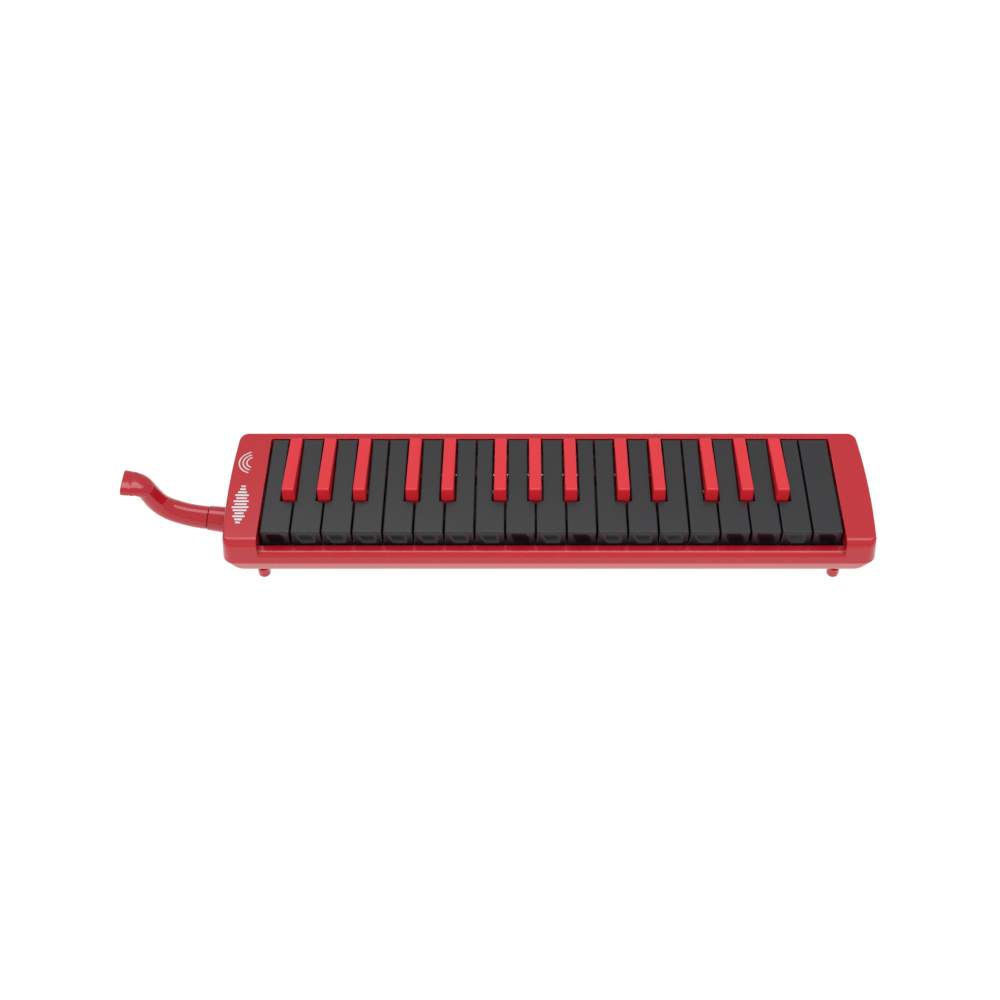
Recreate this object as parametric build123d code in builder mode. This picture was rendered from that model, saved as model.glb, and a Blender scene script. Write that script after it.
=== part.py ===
from build123d import *
import math
import os

# A 32 key melodica. X runs along the keyboard, from the mouthpiece at the low notes to the high
# notes. The player's side is -Y and +Z is up. The origin is under the middle of the whole
# instrument, mouthpiece included, on the surface that it stands on. Millimetres and degrees.

# Case
case_length = 427.6
case_depth = 100.0
end_bow = 2.3
corner_radius = 7.0
wall = 2.2
base_z = 4.0
parting_z = 25.0
deck_z = 43.0
upper_taper = 6.5
lower_taper = 19.0
lower_round = 20.0
deck_round = 1.2
cheek_round = 5.0
rail_top_z = 32.7
rail_round = 4.0
stud_radius = 4.0
stud_round = 1.5
stud_inset_x = 25.0
stud_inset_y = 11.4
boss_radius = 4.0

# Keyboard
pitch = 19.8
key_gap = 1.0
keyboard_shift = 1.2
side_gap = 1.9
key_front_y = -40.0
key_rear_y = 42.0
front_gap = 1.5
rear_gap = 1.9
key_top_z = 44.0
key_skin = 2.2
key_wall = 1.4
skirt_z = 39.0
front_skirt_z = 32.0
apron_gap = 1.5
notch_front_y = -12.8
sharp_front_y = -11.8
sharp_rake = 1.4
sharp_front_z = 52.5
sharp_slope = 7.0
sharp_base_width = 8.6
sharp_top_width = 8.0
sharp_side_gap = 0.8
key_bottom_z = 32.5
hub_width = 6.0
hub_radius = 2.8
key_dip = 4.5

# Key action
axle_y = 18.0
axle_z = 34.0
axle_radius = 1.5
running_gap = 0.05
comb_thick = 1.0
comb_width = 10.0
ear_thick = 2.0
ear_height = 7.0
pad_length = 10.0
pad_width = 7.5
pad_y = 34.5
spring_y = -2.0
spring_radius = 2.3
spring_wire = 0.5
spring_pocket = 1.0
felt_y = -34.0
felt_width = 6.0
felt_thick = 2.8
soft_gap = 0.3

# Wind chest, from the floor of the trough up to the top of the reed block
chest_end_gap = 1.5
chest_front_y = -18.0
chest_rear_y = 40.5
chest_bottom_z = 9.0
chest_wall = 2.0
chest_floor = 1.6
chest_round = 6.0
gasket_z = 20.0
gasket_thick = 0.5
block_top_z = 30.0
block_skin = 2.5
cell_width = 5.5
cell_rear_y = 38.0
tone_hole_width = 4.0
tone_hole_length = 7.0
plate_thick = 1.0
plate_gap = 0.5
reed_thick = 0.3
reed_width = 2.4
reed_gap = 0.2
reed_root_width = 3.6
reed_root_length = 4.5
low_reed_length = 34.0
high_reed_length = 16.0
rivet_radius = 0.8
rivet_head = 0.3
lug_width = 10.0
lug_length = 10.0
lug_height = 5.0

# Screws
screw_radius = 1.3
screw_head_radius = 2.7
screw_head = 2.0
screw_gap = 0.2
small_screw_radius = 0.9
small_head_radius = 1.8

# Mouthpiece
socket_tilt = 11.0
socket_y = -9.4
socket_z = 20.0
socket_inset = 1.0
socket_radius = 8.9
socket_length = 20.0
socket_bore = 6.0
inlet_radius = 3.2
inlet_bore = 2.2
inlet_length = 8.0
collar_radius = 8.85
collar_taper = 2.5
collar_length = 14.5
plug_length = 16.0
ferrule_bore = 3.5
swivel_radius = 5.0
swivel_length = 8.0
shoulder_gap = 0.2
tube_radius = 7.8
tube_wall = 2.0
seal_radius = 0.75
first_run = 3.0
gentle_bend = 60.0
gentle_angle = 20.0
steep_bend = 24.0
steep_angle = 58.0
middle_run = 8.8
back_bend = 9.0
tip_run = 8.0
tip_width = 19.0
tip_thick = 8.0
tip_slot = 3.6
tip_wall = 2.2

# Drain valve
valve_x = 175.0
valve_y = 4.0
button_radius = 4.5
button_wall = 1.0
button_bottom_z = 1.5
button_top_z = 6.4
valve_stem_radius = 1.25
valve_hole_radius = 3.0
valve_seal_radius = 4.6
valve_seal_thick = 1.5
valve_spring_radius = 3.2
valve_travel = 2.2

# Hand strap
strap_length = 190.0
strap_width = 26.0
strap_thick = 1.6
anchor_length = 22.0
anchor_thick = 1.4

# Corners of the mouthpiece's centre line, as reach along the socket's axis and rise above it
def turned(start, radius, before, after):
    reach = start[0] + radius * abs(math.sin(math.radians(after)) - math.sin(math.radians(before)))
    rise = start[1] + radius * abs(math.cos(math.radians(after)) - math.cos(math.radians(before)))
    return reach, rise


bend_start = (collar_length + first_run, 0)
gentle_end = turned(bend_start, gentle_bend, 0, gentle_angle)
steep_end = turned(gentle_end, steep_bend, gentle_angle, steep_angle)
middle_end = (
    steep_end[0] + middle_run * math.cos(math.radians(steep_angle)),
    steep_end[1] + middle_run * math.sin(math.radians(steep_angle)),
)
tip_start = turned(middle_end, back_bend, steep_angle, 0)

# The mouthpiece's reach past the case puts the middle of the case at case_x
reach = (tip_start[0] + tip_run) * math.cos(math.radians(socket_tilt))
reach -= (tip_start[1] - tip_thick / 2) * math.sin(math.radians(socket_tilt))
case_x = (reach - socket_inset) / 2
keys_x = case_x + keyboard_shift
socket_x = case_x - case_length / 2 + socket_inset

# The keyboard runs from F to C
naturals = "FGABCDEFGABCDEFGABC"
sharp_offsets = {"F": -3.5, "G": -0.25, "A": 3.4, "C": -1.85, "D": 1.7}
natural_width = pitch - key_gap
notch_half = sharp_base_width / 2 + sharp_side_gap
keyboard_half = (len(naturals) * pitch - key_gap) / 2
opening_half = keyboard_half + side_gap
opening_front_y = key_front_y - front_gap
opening_rear_y = key_rear_y + rear_gap
key_roof_z = key_top_z - key_skin
apron_rear_y = chest_front_y - apron_gap
chest_half = opening_half - chest_end_gap
block_z = gasket_z + gasket_thick
cell_top_z = block_top_z - block_skin


def natural_x(index):
    return keys_x + (index - (len(naturals) - 1) / 2) * pitch


def sharp_x(index):
    return natural_x(index) + pitch / 2 + sharp_offsets[naturals[index]]


def has_sharp(index):
    return 0 <= index < len(naturals) - 1 and naturals[index] in sharp_offsets


def tail_sides(index):
    left = natural_x(index) - natural_width / 2
    right = natural_x(index) + natural_width / 2
    if has_sharp(index - 1):
        left = sharp_x(index - 1) + notch_half
    if has_sharp(index):
        right = sharp_x(index) - notch_half
    return left, right


def tail_x(index):
    return sum(tail_sides(index)) / 2


low_octave = 3
keys = []
for i, note in enumerate(naturals):
    octave = low_octave + (i + 3) // 7
    keys.append({"name": f"key_{note}{octave}", "index": i, "sharp": False, "x": tail_x(i)})
    if has_sharp(i):
        keys.append({"name": f"key_{note}{octave}_sharp", "index": i, "sharp": True, "x": sharp_x(i)})

bare_gaps = [i for i in range(len(naturals) - 1) if not has_sharp(i)]
ear_places = [natural_x(i) + pitch / 2 for i in bare_gaps]
ear_places += [natural_x(0) - 8.4, natural_x(len(naturals) - 1) + 8.4]
comb_screw_places = [natural_x(i) for i in (1, 5, 9, 13, 17)]
lug_places = [keys_x + offset for offset in (-155, -78, 0, 78, 155)]
lug_y = chest_front_y - lug_length / 2
cheek_x = opening_half + 12.0
case_screw_places = [(keys_x - cheek_x, -27), (keys_x + cheek_x, -27), (keys_x + cheek_x, 27)]
case_screw_places += [(keys_x - cheek_x, 27)]


def reed_length(x):
    share = (x - keys[0]["x"]) / (keys[-1]["x"] - keys[0]["x"])
    return low_reed_length + (high_reed_length - low_reed_length) * share


def write(piece, name):
    piece.label = name
    export_step(piece, f"parts/{name}.step")


def case_outline(inset):
    half = case_length / 2 - inset
    depth = case_depth / 2 - inset
    with BuildSketch() as outline:
        with BuildLine():
            rear = Line((half - end_bow, depth), (end_bow - half, depth))
            left = ThreePointArc(rear @ 1, (-half, 0), (end_bow - half, -depth))
            front = Line(left @ 1, (half - end_bow, -depth))
            ThreePointArc(front @ 1, (half, 0), rear @ 0)
        make_face()
        fillet(outline.vertices(), radius=corner_radius - inset)
    return outline.sketch


def lower_section(half, inset):
    # Half width at the parting line, a sloping side and a large round into the flat base
    drop = parting_z - base_z
    slide = drop * math.tan(math.radians(lower_taper))
    tangent = lower_round * math.tan(math.radians((90 - lower_taper) / 2))
    low = -drop
    with BuildSketch() as section:
        with BuildLine():
            start = Line((0, low), (half - slide - tangent, low))
            knee = (
                half - slide + tangent * math.sin(math.radians(lower_taper)),
                low + tangent * math.cos(math.radians(lower_taper)),
            )
            turn = TangentArc(start @ 1, knee, tangent=(1, 0))
            side = Line(turn @ 1, (half, 0))
            top = Line(side @ 1, (0, 0))
            Line(top @ 1, start @ 0)
        make_face()
        mirror(about=Plane.YZ)
        if inset:
            offset(amount=-inset)
            with Locations((0, 0)):
                Rectangle(2 * (half - inset), 2 * inset, mode=Mode.ADD)
    return section.sketch


def lower_hull(inset):
    with BuildPart() as hull:
        with BuildSketch(Plane(origin=(case_x, 0, parting_z), z_dir=(0, 0, -1))):
            add(case_outline(inset))
        extrude(amount=parting_z - base_z - inset)
        with BuildSketch(Plane(origin=(case_x, 0, parting_z), x_dir=(0, 1, 0), z_dir=(1, 0, 0))):
            add(lower_section(case_depth / 2, inset))
        extrude(amount=case_length, both=True, mode=Mode.INTERSECT)
        with BuildSketch(Plane(origin=(case_x, 0, parting_z), x_dir=(1, 0, 0), z_dir=(0, -1, 0))):
            add(lower_section(case_length / 2 + end_bow / 4, inset))
        extrude(amount=case_depth, both=True, mode=Mode.INTERSECT)
    return hull.part


# The socket's axis leans up and away from the case
lean = math.radians(socket_tilt)
socket = Plane(
    origin=(socket_x, socket_y, socket_z),
    x_dir=(0, -1, 0),
    z_dir=(-math.cos(lean), 0, math.sin(lean)),
)

os.makedirs("parts", exist_ok=True)

# Upper shell: cheeks, rear deck and the low front rail round the keyboard opening
with BuildPart() as upper_cavity:
    with BuildSketch(Plane((case_x, 0, parting_z))):
        add(case_outline(wall))
    extrude(amount=deck_z - parting_z - wall, taper=upper_taper)
    with BuildSketch(Plane((keys_x, 0, rail_top_z - wall))):
        with Locations((0, (opening_rear_y + wall - case_depth) / 2)):
            Rectangle(2 * (opening_half + wall), opening_rear_y + wall + case_depth)
    extrude(amount=deck_z, mode=Mode.SUBTRACT)

with BuildPart() as top_case:
    with BuildSketch(Plane((case_x, 0, parting_z))):
        add(case_outline(0))
    extrude(amount=deck_z - parting_z, taper=upper_taper)
    fillet(top_case.edges().group_by(Axis.Z)[-1], radius=deck_round)
    # The front of the cheeks turns down in a larger round
    front_top_y = -case_depth / 2 + (deck_z - parting_z) * math.tan(math.radians(upper_taper))
    with BuildSketch(Plane(origin=(case_x, front_top_y, deck_z), x_dir=(0, 1, 0), z_dir=(1, 0, 0))):
        with Locations((0, 0)):
            Rectangle(2 * cheek_round, 2 * cheek_round)
        with Locations((cheek_round, -cheek_round)):
            Circle(cheek_round, mode=Mode.SUBTRACT)
        with Locations((cheek_round, 0), (0, -cheek_round)):
            Rectangle(cheek_round, 2 * cheek_round, mode=Mode.SUBTRACT)
            Rectangle(2 * cheek_round, cheek_round, mode=Mode.SUBTRACT)
    extrude(amount=case_length, both=True, mode=Mode.SUBTRACT)
    # Front rail, lower than the cheeks
    with BuildSketch(Plane((keys_x, 0, rail_top_z))):
        with Locations((0, (opening_front_y - case_depth) / 2)):
            Rectangle(2 * opening_half, opening_front_y + case_depth)
    extrude(amount=deck_z, mode=Mode.SUBTRACT)
    rail_edges = top_case.edges().filter_by(Axis.X).filter_by_position(
        Axis.Z, rail_top_z - 0.01, rail_top_z + 0.01
    )
    fillet(rail_edges.sort_by(Axis.Y)[0], radius=rail_round)
    with BuildSketch(Plane((keys_x, 0, parting_z))):
        with Locations((0, (opening_front_y + opening_rear_y) / 2)):
            Rectangle(2 * opening_half, opening_rear_y - opening_front_y)
    extrude(amount=deck_z, mode=Mode.SUBTRACT)
    add(upper_cavity.part, mode=Mode.SUBTRACT)
    # Screw posts under the cheeks
    with BuildSketch(Plane.XY.offset(parting_z)):
        with Locations(*case_screw_places):
            Circle(boss_radius)
            Circle(screw_radius, mode=Mode.SUBTRACT)
    extrude(amount=deck_z - parting_z - wall / 2)
    # Round cut for the socket
    with BuildSketch(socket):
        Circle(socket_radius)
    extrude(amount=socket_length, both=True, mode=Mode.SUBTRACT)
write(top_case.part, "top_case")

# Lower shell: hollow, with ribs under the wind chest, screw posts and four moulded studs to stand on
stud_x = case_length / 2 - stud_inset_x
stud_y = case_depth / 2 - stud_inset_y
stud_places = [(case_x + i * stud_x, j * stud_y) for i in (-1, 1) for j in (-1, 1)]
floor_z = base_z + wall
felt_top_z = front_skirt_z - key_dip * (axle_y - felt_y) / (axle_y - key_front_y) - soft_gap

with BuildPart() as lower_ribs:
    with BuildSketch(Plane.XY.offset(base_z)):
        with Locations(*[(x + lug_width, (chest_front_y + chest_rear_y) / 2) for x in lug_places]):
            Rectangle(wall, chest_rear_y - chest_front_y - 2 * chest_round)
        with Locations(*[(x, lug_y) for x in lug_places]):
            Circle(boss_radius)
    extrude(amount=chest_bottom_z - base_z)
    with BuildSketch(Plane.XY.offset(base_z)):
        with Locations((keys_x, felt_y)):
            Rectangle(2 * chest_half, wall)
    extrude(amount=felt_top_z - felt_thick - base_z - wall)
    with BuildSketch(Plane.XY.offset(felt_top_z - felt_thick - wall)):
        with Locations((keys_x, felt_y)):
            Rectangle(2 * chest_half, felt_width)
    extrude(amount=wall)
    with BuildSketch(Plane.XY.offset(base_z)):
        with Locations(*case_screw_places):
            Circle(boss_radius)
    extrude(amount=parting_z - base_z)
    add(lower_hull(0), mode=Mode.INTERSECT)

with BuildPart() as lower_inside:
    add(lower_hull(wall))

with BuildPart() as bottom_case:
    with BuildSketch(Plane.XY):
        with Locations(*stud_places):
            Circle(stud_radius)
    extrude(amount=parting_z / 2)
    fillet(bottom_case.edges().group_by(Axis.Z)[0], radius=stud_round)
    add(lower_hull(0))
    add(lower_inside.part, mode=Mode.SUBTRACT)
    add(lower_ribs.part)
    with Locations(*[(x, lug_y, base_z) for x in lug_places]):
        Cylinder(screw_radius + screw_gap, 2 * (chest_bottom_z - base_z), mode=Mode.SUBTRACT)
        Cylinder(screw_head_radius + screw_gap, 2 * screw_head, mode=Mode.SUBTRACT)
    with Locations(*[(x, y, parting_z) for x, y in case_screw_places]):
        Cylinder(screw_radius + screw_gap, 2 * parting_z, mode=Mode.SUBTRACT)
    with Locations(*[(x, y, base_z) for x, y in case_screw_places]):
        Cylinder(screw_head_radius + screw_gap, 4 * screw_head, mode=Mode.SUBTRACT)
    with Locations((keys_x + valve_x, valve_y, base_z)):
        Cylinder(button_radius + screw_gap, 4 * wall, mode=Mode.SUBTRACT)
    with BuildSketch(socket):
        Circle(socket_radius)
    extrude(amount=socket_length, both=True, mode=Mode.SUBTRACT)
write(bottom_case.part, "bottom_case")

# Felt strip that stops the front of the keys
with BuildPart() as felt_strip:
    with BuildSketch(Plane.XY.offset(felt_top_z - felt_thick)):
        with Locations((keys_x, felt_y)):
            Rectangle(2 * chest_half, felt_width)
    extrude(amount=felt_thick)
write(felt_strip.part, "key_stop_felt")

# Wind chest trough, open at the top, with lugs for the screws and holes for the inlet and drain
chest_mid_y = (chest_front_y + chest_rear_y) / 2
chest_depth = chest_rear_y - chest_front_y
with BuildPart() as air_chest:
    with BuildSketch(Plane.XY.offset(chest_bottom_z)):
        with Locations((keys_x, chest_mid_y)):
            Rectangle(2 * chest_half, chest_depth)
    extrude(amount=gasket_z - chest_bottom_z)
    low_edges = air_chest.edges().group_by(Axis.Z)[0].filter_by(Axis.X)
    fillet(low_edges, radius=chest_round)
    with BuildSketch(Plane.XY.offset(gasket_z)):
        with Locations((keys_x, chest_mid_y)):
            Rectangle(2 * (chest_half - chest_wall), chest_depth - 2 * chest_wall)
    extrude(amount=-(gasket_z - chest_bottom_z - chest_floor), mode=Mode.SUBTRACT)
    with BuildSketch(Plane.XY.offset(chest_bottom_z)):
        with Locations(*[(x, lug_y + chest_wall / 2) for x in lug_places]):
            Rectangle(lug_width, lug_length + chest_wall)
    extrude(amount=lug_height)
    with BuildSketch(Plane.XY.offset(gasket_z)):
        with Locations((keys_x, chest_mid_y)):
            Rectangle(2 * (chest_half - chest_wall), chest_depth - 2 * chest_wall)
    extrude(amount=-(gasket_z - chest_bottom_z - chest_floor), mode=Mode.SUBTRACT)
    with Locations(*[(x, lug_y, chest_bottom_z) for x in lug_places]):
        Cylinder(screw_radius, 4 * lug_height, mode=Mode.SUBTRACT)
    with Locations((keys_x + valve_x, valve_y, chest_bottom_z)):
        Cylinder(valve_hole_radius, 4 * chest_floor, mode=Mode.SUBTRACT)
    with BuildSketch(socket):
        Circle(inlet_radius + running_gap)
    extrude(amount=-2 * (socket_length + inlet_length), mode=Mode.SUBTRACT)
write(air_chest.part, "air_chest")

# Gasket between the trough and the reed block
with BuildPart() as chest_gasket:
    with BuildSketch(Plane.XY.offset(gasket_z)):
        with Locations((keys_x, chest_mid_y)):
            Rectangle(2 * chest_half, chest_depth)
            Rectangle(2 * (chest_half - chest_wall), chest_depth - 2 * chest_wall, mode=Mode.SUBTRACT)
    extrude(amount=gasket_thick)
write(chest_gasket.part, "chest_gasket")

# Reed block: one cell over each reed, and a tone hole out of each cell under the key's pad
with BuildPart() as reed_block:
    with BuildSketch(Plane.XY.offset(block_z)):
        with Locations((keys_x, chest_mid_y)):
            Rectangle(2 * chest_half, chest_depth)
    extrude(amount=block_top_z - block_z)
    with BuildSketch(Plane.XY.offset(block_z)):
        for key in keys:
            cell_length = reed_length(key["x"]) + 4 * reed_gap
            with Locations((key["x"], cell_rear_y - cell_length / 2)):
                Rectangle(cell_width, cell_length)
    extrude(amount=cell_top_z - block_z, mode=Mode.SUBTRACT)
    with BuildSketch(Plane.XY.offset(block_top_z)):
        with Locations(*[(key["x"], pad_y) for key in keys]):
            Rectangle(tone_hole_width, tone_hole_length)
    extrude(amount=-2 * block_skin, mode=Mode.SUBTRACT)
    with BuildSketch(Plane.XY.offset(block_top_z)):
        with Locations(*[(key["x"], spring_y) for key in keys]):
            Circle(spring_radius + 2 * running_gap)
    extrude(amount=-spring_pocket, mode=Mode.SUBTRACT)
    with Locations(*[(x, axle_y, block_top_z) for x in comb_screw_places]):
        Cylinder(small_screw_radius, 2 * block_skin, mode=Mode.SUBTRACT)
write(reed_block.part, "reed_block")

# Two brass reed plates under the block, with a slot and a tongue for each note
plate_rear_y = chest_rear_y - chest_wall - plate_gap
plate_front_y = chest_front_y + chest_wall + plate_gap
tongue_rear_y = cell_rear_y - 2 * reed_gap


def tongue_y(key):
    # A tongue is fixed at its front and free under the tone hole
    return tongue_rear_y - reed_length(key["x"]) / 2


def root_centre(key):
    return tongue_rear_y - reed_length(key["x"]) - reed_root_length / 2


plate_half = chest_half - chest_wall - plate_gap
half_keys = len(keys) // 2
plate_split = (keys[half_keys - 1]["x"] + keys[half_keys]["x"]) / 2
plates = [
    ("reed_plate_low", keys[:half_keys], keys_x - plate_half, plate_split - plate_gap / 2),
    ("reed_plate_high", keys[half_keys:], plate_split + plate_gap / 2, keys_x + plate_half),
]
for name, notes, left, right in plates:
    with BuildPart() as reed_plate:
        with BuildSketch(Plane.XY.offset(block_z)):
            with Locations(((left + right) / 2, (plate_front_y + plate_rear_y) / 2)):
                Rectangle(right - left, plate_rear_y - plate_front_y)
        extrude(amount=-plate_thick)
        with BuildSketch(Plane.XY.offset(block_z)):
            for key in notes:
                with Locations((key["x"], tongue_y(key))):
                    Rectangle(reed_width + 2 * reed_gap, reed_length(key["x"]) + 2 * reed_gap)
                with Locations((key["x"], root_centre(key))):
                    Circle(rivet_radius)
        extrude(amount=-plate_thick, mode=Mode.SUBTRACT)
    write(reed_plate.part, name)

reed_z = block_z - plate_thick - reed_thick
with BuildPart() as reeds:
    with BuildSketch(Plane.XY.offset(reed_z)):
        for key in keys:
            with Locations((key["x"], tongue_y(key))):
                Rectangle(reed_width, reed_length(key["x"]))
            with Locations((key["x"], root_centre(key))):
                Rectangle(reed_root_width, reed_root_length)
                Circle(rivet_radius, mode=Mode.SUBTRACT)
    extrude(amount=reed_thick)
write(reeds.part, "reeds")

with BuildPart() as reed_rivets:
    with BuildSketch(Plane.XY.offset(reed_z)):
        with Locations(*[(key["x"], root_centre(key)) for key in keys]):
            Circle(rivet_radius)
    extrude(amount=plate_thick + reed_thick)
    with BuildSketch(Plane.XY.offset(reed_z - rivet_head)):
        with Locations(*[(key["x"], root_centre(key)) for key in keys]):
            Circle(1.5 * rivet_radius)
    extrude(amount=rivet_head)
write(reed_rivets.part, "reed_rivets")

# Axle for all the keys, and the comb of ears that carries it
axle_half = keyboard_half - key_gap / 2
with BuildPart() as key_axle:
    with BuildSketch(Plane(origin=(keys_x - axle_half, axle_y, axle_z), z_dir=(1, 0, 0))):
        Circle(axle_radius)
    extrude(amount=2 * axle_half)
write(key_axle.part, "key_axle")

with BuildPart() as axle_comb:
    with BuildSketch(Plane.XY.offset(block_top_z)):
        with Locations((keys_x, axle_y)):
            Rectangle(2 * axle_half, comb_width)
    extrude(amount=comb_thick)
    with BuildSketch(Plane.XY.offset(block_top_z)):
        with Locations(*[(x, axle_y) for x in ear_places]):
            Rectangle(ear_thick, 2 * hub_radius)
    extrude(amount=ear_height)
    with BuildSketch(Plane(origin=(keys_x - case_length, axle_y, axle_z), z_dir=(1, 0, 0))):
        Circle(axle_radius + running_gap)
    extrude(amount=2 * case_length, mode=Mode.SUBTRACT)
    with Locations(*[(x, axle_y, block_top_z) for x in comb_screw_places]):
        Cylinder(small_head_radius, 4 * comb_thick, mode=Mode.SUBTRACT)
write(axle_comb.part, "axle_comb")

with BuildPart() as comb_screws:
    with BuildSketch(Plane.XY.offset(block_top_z)):
        with Locations(*[(x, axle_y) for x in comb_screw_places]):
            Circle(small_head_radius)
    extrude(amount=comb_thick)
    with BuildSketch(Plane.XY.offset(block_top_z)):
        with Locations(*[(x, axle_y) for x in comb_screw_places]):
            Circle(small_screw_radius)
    extrude(amount=-block_skin)
write(comb_screws.part, "comb_screws")

with BuildPart() as key_springs:
    with BuildSketch(Plane.XY.offset(block_top_z - spring_pocket)):
        with Locations(*[(key["x"], spring_y) for key in keys]):
            Circle(spring_radius)
            Circle(spring_radius - spring_wire, mode=Mode.SUBTRACT)
    extrude(amount=key_roof_z - block_top_z + spring_pocket)
write(key_springs.part, "key_springs")


# Keys rock on the axle: the front goes down and the pad behind the axle lifts off its hole
def add_works(x):
    # Web under the key with its hub round the axle and the seat for the pad
    with BuildPart() as works:
        with BuildSketch(Plane(origin=(x, 0, 0), x_dir=(0, 1, 0), z_dir=(1, 0, 0))):
            with Locations(((axle_y - 2 * hub_radius + key_rear_y) / 2, (key_bottom_z + key_roof_z) / 2)):
                Rectangle(key_rear_y - axle_y + 2 * hub_radius, key_roof_z - key_bottom_z)
            with Locations((axle_y, axle_z)):
                Circle(hub_radius)
        extrude(amount=hub_width / 2, both=True)
        with BuildSketch(Plane.XY.offset(key_bottom_z)):
            with Locations((x, pad_y)):
                Rectangle(pad_width, pad_length)
        extrude(amount=key_wall)
        with BuildSketch(Plane(origin=(x, axle_y, axle_z), z_dir=(1, 0, 0))):
            Circle(axle_radius + running_gap)
        extrude(amount=hub_width, both=True, mode=Mode.SUBTRACT)
    return works.part


def pad(x):
    with BuildPart() as felt_pad:
        with BuildSketch(Plane.XY.offset(block_top_z)):
            with Locations((x, pad_y)):
                Rectangle(pad_width, pad_length)
        extrude(amount=key_bottom_z - block_top_z)
    return felt_pad.part


def natural_plan(index, inset):
    left, right = tail_sides(index)
    x = natural_x(index)
    half = natural_width / 2
    with BuildSketch() as plan:
        with Locations((x, (key_front_y + notch_front_y) / 2)):
            Rectangle(2 * (half - inset), notch_front_y - key_front_y - 2 * inset)
        with Locations(((left + right) / 2, (notch_front_y + key_rear_y) / 2)):
            Rectangle(right - left - 2 * inset, key_rear_y - notch_front_y - 2 * inset)
        if inset:
            with Locations(((left + right) / 2, notch_front_y)):
                Rectangle(right - left - 2 * inset, 4 * inset)
    return plan.sketch


for key in keys:
    index = key["index"]
    x = key["x"]
    if key["sharp"]:
        with BuildPart() as body:
            with BuildSketch(Plane(origin=(x, 0, 0), x_dir=(0, 1, 0), z_dir=(1, 0, 0))):
                rear_z = sharp_front_z - (key_rear_y - sharp_front_y) * math.tan(math.radians(sharp_slope))
                with BuildLine():
                    Polyline(
                        (sharp_front_y, skirt_z),
                        (sharp_front_y, key_top_z),
                        (sharp_front_y + sharp_rake, sharp_front_z),
                        (key_rear_y, rear_z),
                        (key_rear_y, skirt_z),
                        close=True,
                    )
                make_face()
            extrude(amount=sharp_base_width, both=True)
            with BuildSketch(Plane(origin=(x, key_rear_y, 0), x_dir=(-1, 0, 0), z_dir=(0, 1, 0))):
                with BuildLine():
                    Polyline(
                        (-sharp_base_width / 2, skirt_z),
                        (-sharp_base_width / 2, key_top_z),
                        (-sharp_top_width / 2, sharp_front_z),
                        (sharp_top_width / 2, sharp_front_z),
                        (sharp_base_width / 2, key_top_z),
                        (sharp_base_width / 2, skirt_z),
                        close=True,
                    )
                make_face()
            extrude(amount=-2 * case_depth, mode=Mode.INTERSECT)
            with BuildSketch(Plane.XY.offset(skirt_z)):
                with Locations((x, (sharp_front_y + key_rear_y) / 2)):
                    Rectangle(sharp_base_width - 2 * key_wall, key_rear_y - sharp_front_y - 2 * key_wall)
            extrude(amount=key_roof_z - skirt_z, mode=Mode.SUBTRACT)
            add(add_works(x))
    else:
        with BuildPart() as body:
            with BuildSketch(Plane.XY.offset(skirt_z)):
                add(natural_plan(index, 0))
            extrude(amount=key_top_z - skirt_z)
            with BuildSketch(Plane.XY.offset(front_skirt_z)):
                with Locations((natural_x(index), (key_front_y + apron_rear_y) / 2)):
                    Rectangle(natural_width, apron_rear_y - key_front_y)
            extrude(amount=skirt_z - front_skirt_z)
            with BuildSketch(Plane.XY.offset(front_skirt_z)):
                add(natural_plan(index, key_wall))
            extrude(amount=key_roof_z - front_skirt_z, mode=Mode.SUBTRACT)
            add(add_works(x))
    write(Compound(children=[body.part, pad(x)]), key["name"])

# Inlet socket: a bush between the two shells in the left end wall, with its tail in the wind chest
with BuildPart() as inlet_socket:
    with BuildSketch(socket):
        Circle(socket_radius - running_gap)
    extrude(amount=-socket_length)
    with BuildSketch(socket.offset(-socket_length)):
        Circle(inlet_radius)
    extrude(amount=-inlet_length)
    with BuildSketch(socket):
        Circle(socket_bore)
    extrude(amount=-plug_length - soft_gap, mode=Mode.SUBTRACT)
    with BuildSketch(socket):
        Circle(inlet_bore)
    extrude(amount=-2 * socket_length, mode=Mode.SUBTRACT)
write(inlet_socket.part, "inlet_socket")

# Ferrule: a plug with a seal ring in the socket, and the collar outside that the tube turns in
plug_radius = socket_bore - running_gap
seal_centre = plug_radius - seal_radius
with BuildPart() as mouth_ferrule:
    with BuildSketch(socket):
        Circle(collar_radius)
    extrude(amount=collar_length, taper=collar_taper)
    fillet(mouth_ferrule.edges().filter_by(GeomType.CIRCLE), radius=deck_round / 2)
    with BuildSketch(socket):
        Circle(plug_radius)
    extrude(amount=-plug_length)
    with BuildSketch(socket.offset(collar_length)):
        Circle(swivel_radius + running_gap)
    extrude(amount=-swivel_length - soft_gap, mode=Mode.SUBTRACT)
    with BuildSketch(socket):
        Circle(ferrule_bore)
    extrude(amount=2 * case_length, both=True, mode=Mode.SUBTRACT)
    with BuildSketch(socket.offset(-plug_length / 2 - seal_radius)):
        Circle(plug_radius)
        Circle(seal_centre - seal_radius, mode=Mode.SUBTRACT)
    extrude(amount=2 * seal_radius, mode=Mode.SUBTRACT)
write(mouth_ferrule.part, "mouth_ferrule")

with BuildPart() as ferrule_seal:
    with BuildSketch(Plane(origin=socket.offset(-plug_length / 2).origin, x_dir=socket.x_dir, z_dir=socket.y_dir)):
        with Locations((seal_centre, 0)):
            Circle(seal_radius)
    revolve(axis=Axis(socket.origin, socket.z_dir), revolution_arc=360)
write(ferrule_seal.part, "ferrule_seal")

# Mouthpiece tube: two bends, then a flat oval tip with its slot
tube_plane = Plane(origin=socket.origin, x_dir=socket.z_dir, z_dir=-socket.x_dir)


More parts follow.
